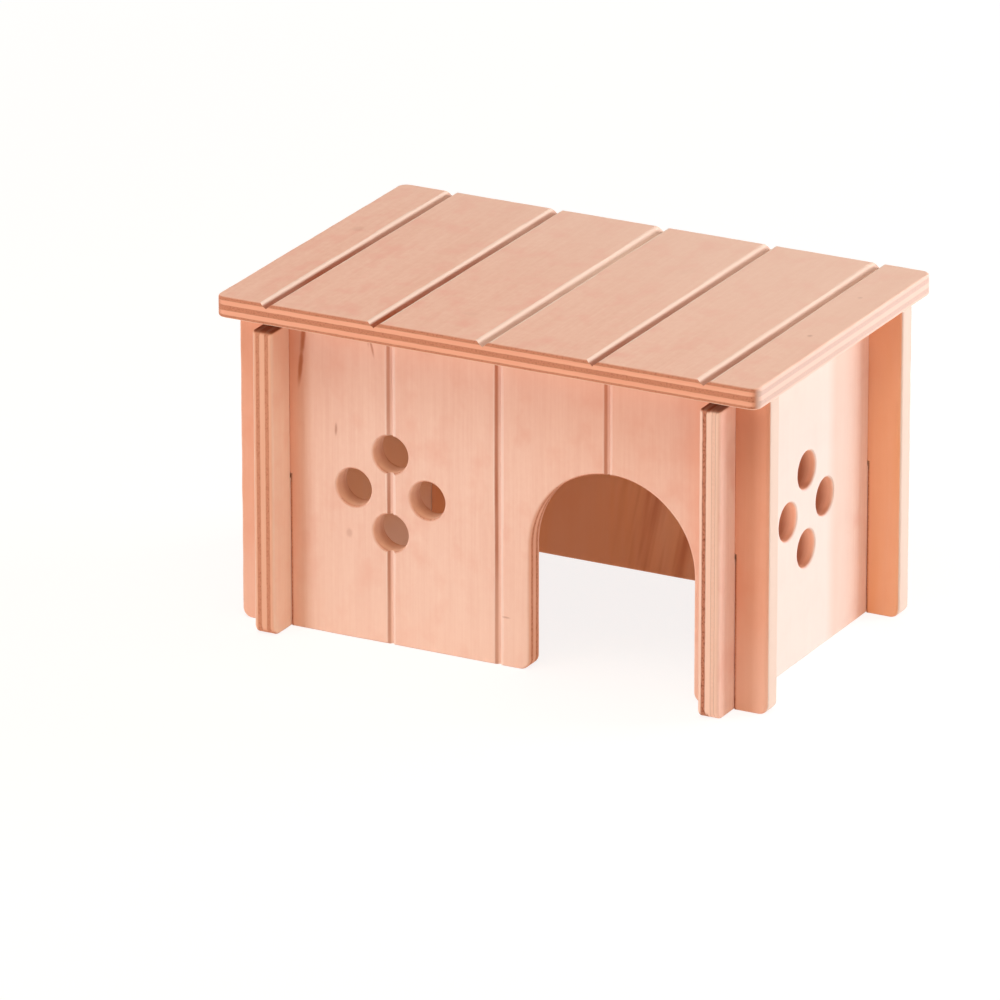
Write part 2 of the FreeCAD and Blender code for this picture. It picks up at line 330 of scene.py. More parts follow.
def rectangle(node, across, up, bottom_radius, top_radius,
              arris=SANDED_ARRIS, side_arris=SANDED_ARRIS):
    """The corners of a plain panel, anticlockwise from the lower left."""
    low, high = boxes[node]
    return [(low[across], low[up], bottom_radius, arris),
            (high[across], low[up], bottom_radius, side_arris),
            (high[across], high[up], top_radius, arris),
            (low[across], high[up], top_radius, side_arris)]


def notch(start, end, mouth, depth):
    """The corners of a sawn slot in an edge: in at the start, and out again at the end."""
    return [(start, mouth, SAWN_RADIUS, SAWN_ARRIS), (start, depth, SAWN_RADIUS, SAWN_ARRIS),
            (end, depth, SAWN_RADIUS, SAWN_ARRIS), (end, mouth, SAWN_RADIUS, SANDED_ARRIS)]


def long_wall_corners(node, doorway=()):
    """The outline of the front or rear wall, whose slots are open at the foot."""
    lower_left, lower_right, upper_right, upper_left = rectangle(
        node, X, Z, FOOT_RADIUS, TOP_CORNER_RADIUS, side_arris=TAB_ARRIS)
    slots = [notch(boxes[side][0].x, boxes[side][1].x + LAP_PLAY, 0, LAP_DEPTH)
             for side in ("left_side_wall", "right_side_wall")]
    return [lower_left, *slots[0], *doorway, *slots[1], lower_right, upper_right, upper_left]


def side_wall_corners(node):
    """The outline of a side wall, whose slots are open at the top."""
    lower_left, lower_right, upper_right, upper_left = rectangle(
        node, Y, Z, FOOT_RADIUS, TOP_CORNER_RADIUS, side_arris=TAB_ARRIS)
    top = boxes[node][1].z
    slots = [notch(boxes[wall][1].y, boxes[wall][0].y - LAP_PLAY, top, top - LAP_DEPTH)
             for wall in ("rear_wall", "front_wall")]
    return [lower_left, lower_right, upper_right, *slots[0], *slots[1], upper_left]


def doorway_corners():
    """The doorway's two jambs and its round arch."""
    left = boxes["front_wall"][0].x + boxes["front_wall"][1].x - DOOR_WIDTH
    left = left / 2 + DOOR_OFFSET
    right = left + DOOR_WIDTH
    arch = DOOR_WIDTH / 2
    return [(left, 0, FOOT_RADIUS, SANDED_ARRIS), (left, DOOR_HEIGHT, arch, SANDED_ARRIS),
            (right, DOOR_HEIGHT, arch, SANDED_ARRIS), (right, 0, FOOT_RADIUS, SANDED_ARRIS)]


# ---- workshop trees --------------------------------------------------------------------------

def start_tree(name, inputs):
    """Start a geometry tree that works on a piece, and return its inputs by name."""
    tree = bpy.data.node_groups.new(name, "GeometryNodeTree")
    tree.interface.new_socket("Geometry", in_out="OUTPUT", socket_type="NodeSocketGeometry")
    tree.interface.new_socket("Geometry", in_out="INPUT", socket_type="NodeSocketGeometry")
    for label, kind in inputs.items():
        tree.interface.new_socket(label, in_out="INPUT", socket_type=f"NodeSocket{kind}")
    given = tree.nodes.new("NodeGroupInput")
    return {socket.name: Wire(tree, socket) for socket in given.outputs if socket.name}


def cut_out(given, cutters, mark):
    """End a tree: set the cutters in their place, cut them out of the piece and hand it on.

    The faces that they leave carry the mark, for the material to find.
    """
    marked = cutters.node(
        "GeometryNodeStoreNamedAttribute", {"data_type": "FLOAT", "domain": "FACE"},
        {"Geometry": cutters, "Name": mark, "Value": 1.0})
    placed = cutters.node("GeometryNodeTransform", None, {
        "Geometry": marked, "Translation": given["Place"], "Rotation": given["Turn"]})
    cut = placed.node(
        "GeometryNodeMeshBoolean", {"operation": "DIFFERENCE", "solver": "EXACT"},
        {"Mesh 1": given["Geometry"], "Mesh 2": placed})
    real = cut.node("GeometryNodeRealizeInstances", None, {"Geometry": cut})
    wood = real.node("GeometryNodeSetMaterial", None, {
        "Geometry": real, "Material": given["Material"]})
    result = cutters.tree.nodes.new("NodeGroupOutput")
    cutters.tree.links.new(wood.socket, result.inputs["Geometry"])
    return cutters.tree


def make_groove_tree():
    """A row of V-grooves with rounded lips, which wander a little as the board passes the bit.

    The bits run along their own Y, are spaced along X and cut down from a face at zero.
    """
    given = start_tree("Rout V-grooves", {
        "Count": "Int", "First": "Float", "Pitch": "Float", "Length": "Float", "Width": "Float",
        "Depth": "Float", "Lip": "Float", "Wander": "Float", "Tear": "Float", "Seed": "Float",
        "Place": "Vector", "Turn": "Vector", "Material": "Material"})
    wire = given["Width"]
    half = given["Width"] * 0.5
    reach = half * (1 + LIP_REACH * given["Lip"] / given["Depth"])
    blank = wire.node("GeometryNodeMeshCube", None, {
        "Size": join(reach * 2, given["Length"], 1.0),
        "Vertices X": BIT_COLUMNS, "Vertices Y": BIT_ROWS, "Vertices Z": 2})
    x, y, z = split(wire.node("GeometryNodeInputPosition"))
    slope = given["Depth"] * (abs(x) / half - 1)
    cut_level = wire.math("SMOOTH_MIN", slope, 0.0, given["Lip"])
    is_top = z > 0
    level = cut_level + is_top * (CLEARANCE - cut_level)
    bit = wire.node("GeometryNodeSetPosition", None, {
        "Geometry": blank, "Position": join(x, y, level)})
    row = wire.node("GeometryNodeMeshLine", None, {
        "Count": given["Count"], "Start Location": join(given["First"], 0.0, 0.0),
        "Offset": join(given["Pitch"], 0.0, 0.0)})
    bits = wire.node("GeometryNodeInstanceOnPoints", None, {"Points": row, "Instance": bit})
    loose = wire.node("GeometryNodeRealizeInstances", None, {"Geometry": bits})
    # slow waves move the whole bit, and quick ones its edges; their rates are in waves per metre
    seed = given["Seed"]
    sway = waves(join(x * 35 + seed, y * 22, seed)) * given["Wander"]
    dip = waves(join(x * 60 - seed, y * 30, seed + 9)) * given["Wander"]
    torn = waves(join(x * 900, y * 1300, seed + 5)) * given["Tear"] * (z < CLEARANCE / 2)
    moved = wire.node("GeometryNodeSetPosition", None, {
        "Geometry": loose, "Offset": join(sway + torn, 0.0, dip)})
    return cut_out(given, moved, "routed")


def make_vent_tree():
    """A ring of drilled holes, with their rims rounded over on both faces of the board.

    The drills run along their own Z, and the ring lies about the origin.
    """
    given = start_tree("Drill vents", {
        "Count": "Int", "Diameter": "Float", "Spread": "Float", "Thickness": "Float",
        "Rim": "Float", "Place": "Vector", "Turn": "Vector", "Material": "Material"})
    wire = given["Rim"]
    blank = wire.node("GeometryNodeMeshCylinder", None, {
        "Vertices": DRILL_SIDES, "Side Segments": DRILL_LEVELS, "Radius": 1.0,
        "Depth": given["Thickness"] + CLEARANCE})
    x, y, z = split(wire.node("GeometryNodeInputPosition"))
    past_rim = held(abs(z) - given["Thickness"] * 0.5 + wire, 0.0, wire)
    flare = wire - wire.math("SQRT", wire * wire - past_rim * past_rim)
    radius = given["Diameter"] * 0.5 + flare
    drill = wire.node("GeometryNodeSetPosition", None, {
        "Geometry": blank, "Position": join(x * radius, y * radius, z)})
    ring = wire.node("GeometryNodeMeshCircle", None, {
        "Vertices": given["Count"], "Radius": given["Spread"]})
    drills = wire.node("GeometryNodeInstanceOnPoints", None, {"Points": ring, "Instance": drill})
    loose = wire.node("GeometryNodeRealizeInstances", None, {"Geometry": drills})
    return cut_out(given, loose, "drilled")


def work(piece, tree, settings):
    """Work a piece with one of the trees, and keep what comes out as its plain mesh."""
    tool = piece.modifiers.new(tree.name, "NODES")
    tool.node_group = tree
    names = {socket.name: socket.identifier for socket in tree.interface.items_tree
             if socket.in_out == "INPUT"}
    for name, value in settings.items():
        tool[names[name]] = value
    apply_modifiers(piece)


def apply_modifiers(piece):
    """Replace a piece's mesh by what its modifiers make of it, and remove them."""
    graph = bpy.context.evaluated_depsgraph_get()
    old = piece.data
    piece.data = bpy.data.meshes.new_from_object(piece.evaluated_get(graph))
    piece.modifiers.clear()
    bpy.data.meshes.remove(old)


def smooth(piece):
    """Shade the round parts smooth and keep the flat faces flat."""
    piece.data.shade_smooth()
    piece.data.set_sharp_from_angle(angle=SHARP_ANGLE)
    weights = piece.modifiers.new("Weights", "WEIGHTED_NORMAL")
    weights.keep_sharp = True
    apply_modifiers(piece)


# ---- plywood ---------------------------------------------------------------------------------
#
# Shaders work in millimetres.  A pair of numbers is where a mask starts and where it is full.

PLY_BLUR = 0.28              # how far two neighbouring plies run into each other
GLUE_LINE = (0.03, 0.14)
END_GRAIN_CUT = (0.25, 0.85)
FLAT_TILT = (0.3, 0.9)
SQUARE_TILT = (0.5, 0.9)
RELIEF = 0.05 * MM

SIDE_WALL_MIDDLE = 59.8
SIDE_WALL_INSIDE = 57.0
LONG_WALL_INSIDE = 33.0
LONG_WALL_OUTSIDE = 38.8

TOP_SHADE_ABOVE = 70.0
FLAME_LEFT = (-10.0, 5.0)
FLAME_TOP = (45.0, 65.0)
FOOT_LIGHT_SPAN = (6.0, 18.0)
DRILL_BITE = (0.1, 0.9)
HOLE_SHADE_DEPTH = (0.8, 4.0)
SHADED_TILT = (0.2, 0.4)
SHADED_DEPTH = (0.0, 0.2)
AWAY_FROM_MIDDLE = (5.0, 25.0)
SHADE_LIGHTER_BEHIND = (-35.0, 35.0)
SHADE_LIGHTER_RIGHTWARDS = (15.0, 55.0)
RIGHT_ENDS = (69.0, 71.0)
RIGHT_WALL = (61.0, 62.0)
CLEAR_OF_FRONT = (-38.0, -33.0)
CLOSE_TO_REAR = (20.0, 31.0)
HALF_HIGHLIGHT_SPAN = (10.0, 16.0)
RIGHT_JOINT = (47.0, 60.0)
LEFT_JOINT = (-58.0, -50.0)
RIGHTWARD_SHADE = (-15.0, 45.0)
PAST_RIGHT_WALL = (62.0, 63.0)
UNDER_EAVES = (45.0, 76.0)
LIGHT_FOOT = (5.0, 34.0)
BESIDE_CUT = (0.2, 0.75)
CUT_END = (36.5, 38.0)

# waves per millimetre across the grain, along it and through the board, the detail, and the
# share of the seed that sets the pattern apart
PATTERNS = {
    "ply": (0.35, 0.35, 0, 2.0, 1),
    "fibre": (1.5, 0.045, 1.5, 3.0, 1),
    "cross_fibre": (0.05, 1.8, 1.8, 3.0, 1),
    "sway": (0.05, 0.02, 0, 1.0, 2),
    "figure": (0.16, 0.014, 0.16, 2.0, 0),
    "mottle": (0.15, 0.11, 0.07, 4.0, 3),
    "fleck": (2.6, 0.3, 2.6, 2.0, -1),
    "pore": (2.0, 1.6, 2.6, 3.0, 1),
    "speckle": (0.7, 0.5, 0, 3.0, 2),
    "flame": (0.3, 0.02, 0, 2.0, 1),
    "shade_strength": (0.04, 0.03, 0, 2.0, 1),
    "ragged": (0.9, 0.5, 0, 3.0, 1),
}
FLECK_LEVELS = (0.42, 0.75)
PORE_LEVELS = (-0.1, 0.5)
FLAME_LEVELS = (-0.2, 0.5)
FLAME_LEAN = -0.06


def colour(red, green, blue):
    """A colour from 0 to 255 as it looks, turned into a shader's linear one."""
    parts = [part / 255 for part in (red, green, blue)]
    linear = [part / 12.92 if part < 0.04 else ((part + 0.055) / 1.055) ** 2.4 for part in parts]
    return (*linear, 1.0)


# painted highlights: the right wall's outer face, dimmer towards its rear, and the right ends
PAINTED_HIGHLIGHT = colour(224, 218, 216)
PAINTED_HALF_HIGHLIGHT = colour(216, 199, 191)
PAINTED_END_HIGHLIGHT = colour(222, 204, 194)
# painted light for the back of the roof and the foot of the walls, outside and in
PAINTED_LIGHT = colour(252, 226, 214)
# painted shade beside the joints of the long walls, and towards their right
PAINTED_WALL_SHADE = colour(236, 158, 120)
# painted shade under the eaves
PAINTED_EAVES_SHADE = colour(214, 146, 118)
FLAME = colour(196, 104, 66)
# dark dirt in the saw cuts, and painted shade on the tab tops just under the roof
DIRT_AND_SHADE = colour(124, 66, 44)

# Beside colours, tones say how strong each pattern, each kind of wear and each painted light
# and shade is.  "plies" are the core's and a cross ply's shares of the thickness.  "bottom" is
# the mask of a groove's bottom, and "dust_and_shade" how dark the painted shade there is;
# "shaded_side" is the groove's side with painted shade, -1 or 1; "shade_strength" is how strong
# that painted shade is in the middle and away from it, and "lighter_shade" how much weaker it is
# at the back and at the right.  "painted_gradient" is where a painted gradient starts and is full
# along the grain, its lean, its strength and its colour: painted light on the roof, painted shade
# under the eaves on the walls.  "highlight" and "end_highlight" say how strong the painted
# highlight is on the right side's faces and ends, "hole_shade" the painted shade deep in the
# vents and "foot_light" the painted light at the foot of the inner faces.
ROOF_TONES = {
    "light": colour(254, 217, 202), "dark": colour(244, 199, 182), "blush": colour(246, 191, 177),
    "side": colour(248, 189, 163), "side_dark": colour(238, 172, 146),
    "end": colour(206, 141, 115), "pore": colour(180, 114, 88), "painted_shade": colour(176, 96, 66),
    "inner": colour(255, 228, 208), "mark": colour(160, 98, 74),
    "drilled": colour(240, 190, 166), "fresh": colour(250, 230, 220),
    "fibre": 0.5, "figure": 0.4, "speckle": 0.5, "mottle": 1.8, "fleck": 0.28,
    "even": 0.0, "highlight": 0.55, "end_highlight": 0, "flame": 0.0, "foot_light": 0.0, "hole_shade": 0.0,
    "shaded_side": -1.0, "dust_and_shade": 1.0, "shade_strength": (0.35, 0.95), "lighter_shade": (0.25, 0.2),
    "plies": (0.23, 0.225), "bottom": (0.3, 0.75), "painted_gradient": (-60, 75, 0.7, 0.55, PAINTED_LIGHT),
}
WALL_TONES = {
    "light": colour(253, 222, 210), "dark": colour(240, 199, 186), "blush": colour(240, 192, 178),
    "side": colour(253, 214, 195), "side_dark": colour(245, 198, 177),
    "end": colour(222, 162, 138), "pore": colour(186, 122, 96), "painted_shade": colour(180, 112, 84),
    "inner": colour(255, 228, 208), "mark": colour(158, 84, 58), "dirt": colour(176, 92, 62),
    "drilled": colour(253, 218, 200), "fresh": colour(253, 227, 219),
    "fibre": 0.45, "figure": 0.45, "speckle": 0.2, "mottle": 1.5, "fleck": 0.25,
    "even": 0.0, "highlight": 0.8, "end_highlight": 1, "flame": 0.0, "foot_light": 0.0, "hole_shade": 0.2,
    "shaded_side": 1.0, "dust_and_shade": 0.0, "shade_strength": (0.85, 0.75), "lighter_shade": (0, 0),
    "plies": (0.26, 0.175), "bottom": (0.5, 0.9), "painted_gradient": (45, 80, 0, 0.35, PAINTED_EAVES_SHADE),
}
# the rear and left walls' deeper inner tones are painted shade for the inside of the house
REAR_WALL_TONES = {**WALL_TONES, "inner": colour(248, 183, 139), "flame": 0.6}
LEFT_WALL_TONES = {
    **WALL_TONES,
    "light": colour(254, 230, 216), "dark": colour(247, 214, 200), "blush": colour(247, 210, 195),
    "inner": colour(255, 212, 178), "side": colour(243, 194, 170),
    "side_dark": colour(232, 178, 152), "end": colour(209, 146, 120),
    "pore": colour(190, 124, 98), "foot_light": 0.8,
}
# the right wall's deeper drilled tone is painted shade inside its vents
RIGHT_WALL_TONES = {
    **WALL_TONES,
    "side": colour(253, 222, 208), "side_dark": colour(247, 207, 190),
    "end": colour(196, 132, 108), "pore": colour(132, 72, 52), "even": 0.85,
    "drilled": colour(246, 190, 162), "hole_shade": 0.8, "painted_gradient": (45, 80, 0, 0.1, PAINTED_EAVES_SHADE),
}

# the marks in the roof and in the front wall: each one's place across and along the grain, its
# two half sizes, its lean and its strength
ROOF_MARKS = [
    (66.6, -7.8, 0.9, 1.1, 0, 0.6),
    (65.3, 22.2, 0.8, 1.0, 0, 0.5),
    (-65.4, 11.5, 2.2, 2.6, 0, 0.14),
    (-12.0, -31.0, 3.0, 2.0, 0, 0.05),
    (20.0, 20.0, 2.5, 4.0, 0.2, 0.05),
]
FRONT_MARKS = [
    (-53.2, 75.0, 0.95, 8.0, 0.1, 1.0),
    (-54.0, 67.5, 0.85, 7.0, 0.1, 1.0),
    (-34.6, 75.5, 0.5, 3.6, -0.25, 0.65),
    (-35.6, 77.0, 0.35, 2.4, -0.1, 0.4),
    (-44.4, 52.8, 0.5, 2.2, 0.03, 0.5),
    (-40.9, 26.9, 1.2, 1.6, 0, 0.25),
    (1.6, 12.6, 1.6, 0.35, 0, 0.5),
]


def stain(across, along, mark):
    """A mask for one mark in the face: a knot, a streak or a tick of the grain."""
    place, other_place, half_width, half_length, lean, strength = mark
    aside = (across - place - lean * (along - other_place)) * (1 / half_width)
    ahead = (along - other_place) * (1 / half_length)
    distance = across.math("SQRT", aside * aside + ahead * ahead)
    return (1 - rise(distance, 0.25, 1.0)) * strength


class Plywood:
    """Sanded five-ply board at the point that is shaded: where that lies and what shows there.

    The axes are across the face's grain, along it and through the board, and outside is the side
    of the face that carries the marks, -1 or 1.
    """

    def __init__(self, tree, node, axes, outside, tones, seed):
        self.start = start = Wire(tree)
        self.axes, self.outside, self.tones, self.seed = axes, outside, tones, seed
        facing = split(start.node("ShaderNodeTexCoord", out="Normal"))
        place = split(start.node("ShaderNodeTexCoord", out="Object"))
        place = [part * (1 / MM) for part in place]
        self.place, self.facing = place, facing
        self.across, self.along, self.through = (place[axis] for axis in axes)
        self.tilt_across, self.tilt_along, self.tilt_through = (facing[axis] for axis in axes)
        low, high = (corner[axes[2]] / MM for corner in boxes[node])
        self.thickness = high - low
        off_middle = self.through - (low + high) / 2
        self.outward = off_middle * outside
        self.depth = self.thickness / 2 - abs(off_middle)
        self.is_routed, self.is_drilled = (
            start.node("ShaderNodeAttribute", {"attribute_name": mark}, out="Fac")
            for mark in ("routed", "drilled"))

        # where each ply lies, counted from the middle of the board
        level = abs(off_middle) + self.pattern("ply") * 0.09
        core_share, cross_share = tones["plies"]
        core_edge = core_share / 2 * self.thickness
        face_edge = core_edge + cross_share * self.thickness
        is_cross = rise(level, core_edge - PLY_BLUR, core_edge + PLY_BLUR) * (
            1 - rise(level, face_edge - PLY_BLUR, face_edge + PLY_BLUR))
        self.glue = 1 - (rise(abs(level - core_edge), *GLUE_LINE)
                         * rise(abs(level - face_edge), *GLUE_LINE))

        # how far the surface cuts across the fibres of the ply that shows there
        cut = abs(self.tilt_along) + is_cross * (abs(self.tilt_across) - abs(self.tilt_along))
        self.end_grain = rise(cut, *END_GRAIN_CUT) * (1 - tones["even"] * (self.outward > 0))
        self.on_face = rise(abs(self.tilt_through), *FLAT_TILT)

        # the fibres of the long grain, and of the plies laid across it
        self.cross_fibre = self.pattern("cross_fibre")
        fibre = self.pattern("fibre")
        self.fibre = fibre + is_cross * (self.cross_fibre - fibre)
        self.figure = self.pattern("figure", self.pattern("sway") * 0.6 + seed)
        self.fleck = rise(self.pattern("fleck"), *FLECK_LEVELS)
        self.pore = rise(self.pattern("pore"), *PORE_LEVELS)

    def pattern(self, name, aside=0.0):
        """Noise that changes at its own rates across, along and through the board."""
        across, along, through, detail, seeds = PATTERNS[name]
        return waves(join(self.across * across + aside, self.along * along,
                          self.through * through + seeds * self.seed), detail)

    def grown(self):
        """The wood itself: sanded veneer, sawn sides, end grain and lines of glue."""
        tones = self.tones
        lightness = held(0.5 + self.fibre * tones["fibre"] + self.figure * tones["figure"]
                         + self.pattern("speckle") * tones["speckle"])
        veneer = blend(lightness, tones["dark"], tones["light"])
        veneer = blend(held(self.pattern("mottle") * tones["mottle"]), veneer, tones["blush"])
        veneer = blend(self.fleck * tones["fleck"], veneer, tones["pore"])
        sawn_side = blend(held(0.5 + self.fibre * 0.6), tones["side_dark"], tones["side"])
        end_face = blend(self.pore, tones["end"], tones["pore"])
        wood = blend(self.on_face, sawn_side, veneer)
        wood = blend(self.end_grain, wood, end_face)
        return blend(self.glue * 0.3, wood, tones["pore"])

    def tops_and_inner_faces(self, wood):
        """The inner faces' tones, with painted shade on the tab tops and painted light at the
        inner foot.
        """
        tones = self.tones
        # painted shade on the tops of the tabs, which stand just under the roof
        is_top = rise(self.tilt_along, *SQUARE_TILT) * (self.along > TOP_SHADE_ABOVE)
        is_tab = abs(self.place[Y]) > LONG_WALL_OUTSIDE
        wood = blend(is_top * is_tab * 0.85, wood, DIRT_AND_SHADE)
        is_inner = self.on_face * (self.tilt_through * self.outside < 0)
        if self.axes[0] == Y:
            is_inner = is_inner * (abs(self.place[Y]) < LONG_WALL_INSIDE)
        # inner faces take the inner tone; for the rear and left walls that is painted shade
        wood = blend(is_inner * (0.85 + self.figure * 0.3), wood, tones["inner"])
        flame = rise(self.pattern("flame", self.along * FLAME_LEAN), *FLAME_LEVELS)
        is_flamed = is_inner * rise(self.across, *FLAME_LEFT) * (self.across < SIDE_WALL_INSIDE)
        is_flamed = is_flamed * (1 - rise(self.along, *FLAME_TOP))
        wood = blend(is_flamed * flame * tones["flame"], wood, FLAME)
        # painted light at the foot of the inner faces
        return blend(is_inner * (1 - rise(self.along, *FOOT_LIGHT_SPAN)) * tones["foot_light"], wood, PAINTED_LIGHT)

    def machined_and_shaded(self, wood):
        """Bared wood in the vents and pale wood in the grooves, with painted shade in both."""
        tones = self.tones
        outer_depth = self.thickness / 2 - self.outward
        bared = self.is_drilled * rise(self.depth, *DRILL_BITE) * 0.85
        # painted shade deeper inside the vents
        hole_shade = self.is_drilled * rise(outer_depth, *HOLE_SHADE_DEPTH) * tones["hole_shade"]
        wood = blend(bared, wood, tones["drilled"])
        wood = blend(hole_shade, wood, tones["painted_shade"])
        wood = blend(self.is_routed * 0.9, wood, tones["fresh"])
        # painted shade in the grooves, on the bottom and on one side, varying in strength along
        # the board
        is_bottom = rise(self.depth, *tones["bottom"])
        shaded_side = (rise(self.tilt_across * tones["shaded_side"], *SHADED_TILT)
                      * rise(self.depth, *SHADED_DEPTH))
        shade_middle, shade_away = tones["shade_strength"]
        lighter_behind, lighter_right = tones["lighter_shade"]
        shade_strength = shade_middle + rise(abs(self.across), *AWAY_FROM_MIDDLE) * (shade_away - shade_middle)
        shade_strength = shade_strength - rise(self.along, *SHADE_LIGHTER_BEHIND) * lighter_behind
        shade_strength = shade_strength - rise(self.across, *SHADE_LIGHTER_RIGHTWARDS) * lighter_right
        shade_strength = shade_strength + self.pattern("shade_strength", self.seed) * 0.4 + self.fibre * 0.15
        painted_shade = shaded_side + is_bottom * (tones["dust_and_shade"] - shaded_side)
        return blend(held(self.is_routed * painted_shade * shade_strength), wood, tones["painted_shade"])

    def marked(self, wood, marks):
        """Knots, streaks and ticks in the outer face, with slightly ragged outlines."""
        across = self.across + self.pattern("ragged") * 0.18
        darkest = stain(across, self.along, marks[0])
        for mark in marks[1:]:
            darkest = self.start.math("MAXIMUM", darkest, stain(across, self.along, mark))
        return blend(darkest * (self.outward > 0), wood, self.tones["mark"])

    def painted_light_and_shade(self, wood):
        """Painted highlight on the right side's outer surfaces, and a painted gradient on faces.
        """
        tones = self.tones
        x, y = self.place[X], self.place[Y]
        beyond_walls = rise(x, *RIGHT_ENDS)
        between_walls = rise(x, *RIGHT_WALL) * rise(y, *CLEAR_OF_FRONT) * (
            1 - rise(y, *CLOSE_TO_REAR))
        # painted highlight on what faces right: the right ends and the right wall between the
        # long walls
        lit_right = rise(self.facing[X], *SQUARE_TILT) * self.start.math(
            "MAXIMUM", beyond_walls, between_walls)
        highlight_tone = blend(rise(y, *HALF_HIGHLIGHT_SPAN) * (1 - beyond_walls), PAINTED_HIGHLIGHT, PAINTED_HALF_HIGHLIGHT)
        wood = blend(lit_right * tones["highlight"], wood, highlight_tone)
        wood = blend(lit_right * beyond_walls * tones["end_highlight"], wood, PAINTED_END_HIGHLIGHT)
        # a painted gradient along the grain: painted light towards the back and right of the
        # roof, painted shade under the eaves on the walls
        gradient_start, gradient_end, lean, strength, gradient_tone = tones["painted_gradient"]
        painted_gradient = rise(self.along + self.across * lean, gradient_start, gradient_end)
        return blend(painted_gradient * self.on_face * strength, wood, gradient_tone)

    def jointed(self, wood):
        """A long wall's outside: painted shade by its joints and eaves, painted light at its
        foot.
        """
        across, along = self.across, self.along
        is_outer = self.tilt_through * self.outside > 0.5
        joint_shade = self.start.math(
            "MAXIMUM", rise(across, *RIGHT_JOINT), 1 - rise(across, *LEFT_JOINT))
        under_eaves = rise(across, *PAST_RIGHT_WALL) * rise(along, *UNDER_EAVES)
        # painted shade beside the side walls' tabs, and growing towards the right
        wood = blend(joint_shade * is_outer * 0.6, wood, PAINTED_WALL_SHADE)
        wood = blend(rise(across, *RIGHTWARD_SHADE) * is_outer * 0.16, wood, PAINTED_WALL_SHADE)
        # painted shade under the eaves past the right wall
        wood = blend(under_eaves * is_outer * 0.45, wood, PAINTED_EAVES_SHADE)
        # painted light at the foot
        wood = blend(is_outer * (1 - rise(along, *LIGHT_FOOT)) * 0.3, wood, PAINTED_LIGHT)
        # years of dust in the saw cuts that the side walls are pushed into
        off_cut = abs(abs(across) - SIDE_WALL_MIDDLE) - self.thickness / 2
        is_outdoors = self.start.math("MAXIMUM", is_outer, abs(across) > SIDE_WALL_MIDDLE)
        is_dusty = (1 - rise(off_cut, *BESIDE_CUT)) * (along < LAP_DEPTH / MM) * is_outdoors
        dust_and_shade = blend(rise(along, *CUT_END), self.tones["dirt"], DIRT_AND_SHADE)
        return blend(is_dusty * (0.75 + self.cross_fibre * 0.4), wood, dust_and_shade)

    def surface(self, wood):
        """The finished surface, matt and a little rough to the touch."""
        relief = self.fibre * 0.35 - self.fleck * 0.4 - self.pore * self.end_grain * 0.8
        bump = self.start.node("ShaderNodeBump", None, {
            "Strength": 0.5, "Distance": RELIEF, "Height": relief})
        return self.start.node("ShaderNodeBsdfPrincipled", None, {
            "Base Color": wood, "Roughness": 0.65 + self.end_grain * 0.2 - self.fibre * 0.05,
            "Normal": bump, "Specular IOR Level": 0.15})


def make_plywood(name, node, axes, outside, tones, seed, marks=()):
    """The material of one board; the arguments are those of Plywood."""
    material = bpy.data.materials.new(name)
    material.use_nodes = True
    tree = material.node_tree
    tree.nodes.clear()
    board = Plywood(tree, node, axes, outside, tones, seed)
    wood = board.machined_and_shaded(board.tops_and_inner_faces(board.grown()))
    if marks:
        wood = board.marked(wood, marks)
    wood = board.painted_light_and_shade(wood)
    if axes == LONG_WALL:
        wood = board.jointed(wood)
    output = tree.nodes.new("ShaderNodeOutputMaterial")
    tree.links.new(board.surface(wood).socket, output.inputs["Surface"])
    return material


# ---- the house -------------------------------------------------------------------------------

record = frame["record"]
body_of = {node: body for body, nodes in record["behaviour"]["bodies"].items() for node in nodes}


def take_place_of(piece, node):
    """Let a finished piece stand for its solid and move with it."""
    smooth(piece)
    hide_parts(node)
    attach(piece, body_of[node])


def first_of(count, middle):
    """Where a row of grooves starts whose middle is given."""
    return middle - GROOVE_PITCH * (count - 1) / 2


rout = make_groove_tree()
drill = make_vent_tree()


def make_roof():
    """The roof: a sanded panel with V-grooves from front to back."""
    low, high = boxes["roof_panel"]
    wood = make_plywood("Roof plywood", "roof_panel", ROOF, 1, ROOF_TONES, 4.0, ROOF_MARKS)
    corners = rectangle("roof_panel", X, Y, ROOF_CORNER_RADIUS, ROOF_CORNER_RADIUS)
    roof = make_board("roof_panel", ROOF, corners, 4.0)
    work(roof, rout, {
        "Count": ROOF_GROOVE_COUNT, "First": first_of(ROOF_GROOVE_COUNT, ROOF_GROOVE_SHIFT),
        "Pitch": GROOVE_PITCH, "Length": high.y - low.y + 2 * CLEARANCE,
        "Width": ROOF_GROOVE_WIDTH, "Depth": ROOF_GROOVE_DEPTH, "Lip": ROOF_GROOVE_LIP,
        "Wander": ROOF_GROOVE_WANDER, "Tear": ROOF_GROOVE_TEAR, "Seed": 4.0,
        "Place": (0, 0, high.z), "Material": wood})
    take_place_of(roof, "roof_panel")


def make_long_wall(node, seed, doorway=(), marks=()):
    """The front or the rear wall, still without its grooves and vents."""
    outside = -1 if boxes[node][0].y < 0 else 1
    tones = WALL_TONES if outside < 0 else REAR_WALL_TONES
    wood = make_plywood(f"{node} plywood", node, LONG_WALL, outside, tones, seed, marks)
    wall = make_board(node, LONG_WALL, long_wall_corners(node, doorway), seed)
    wall.data.materials.append(wood)
    return wall, wood


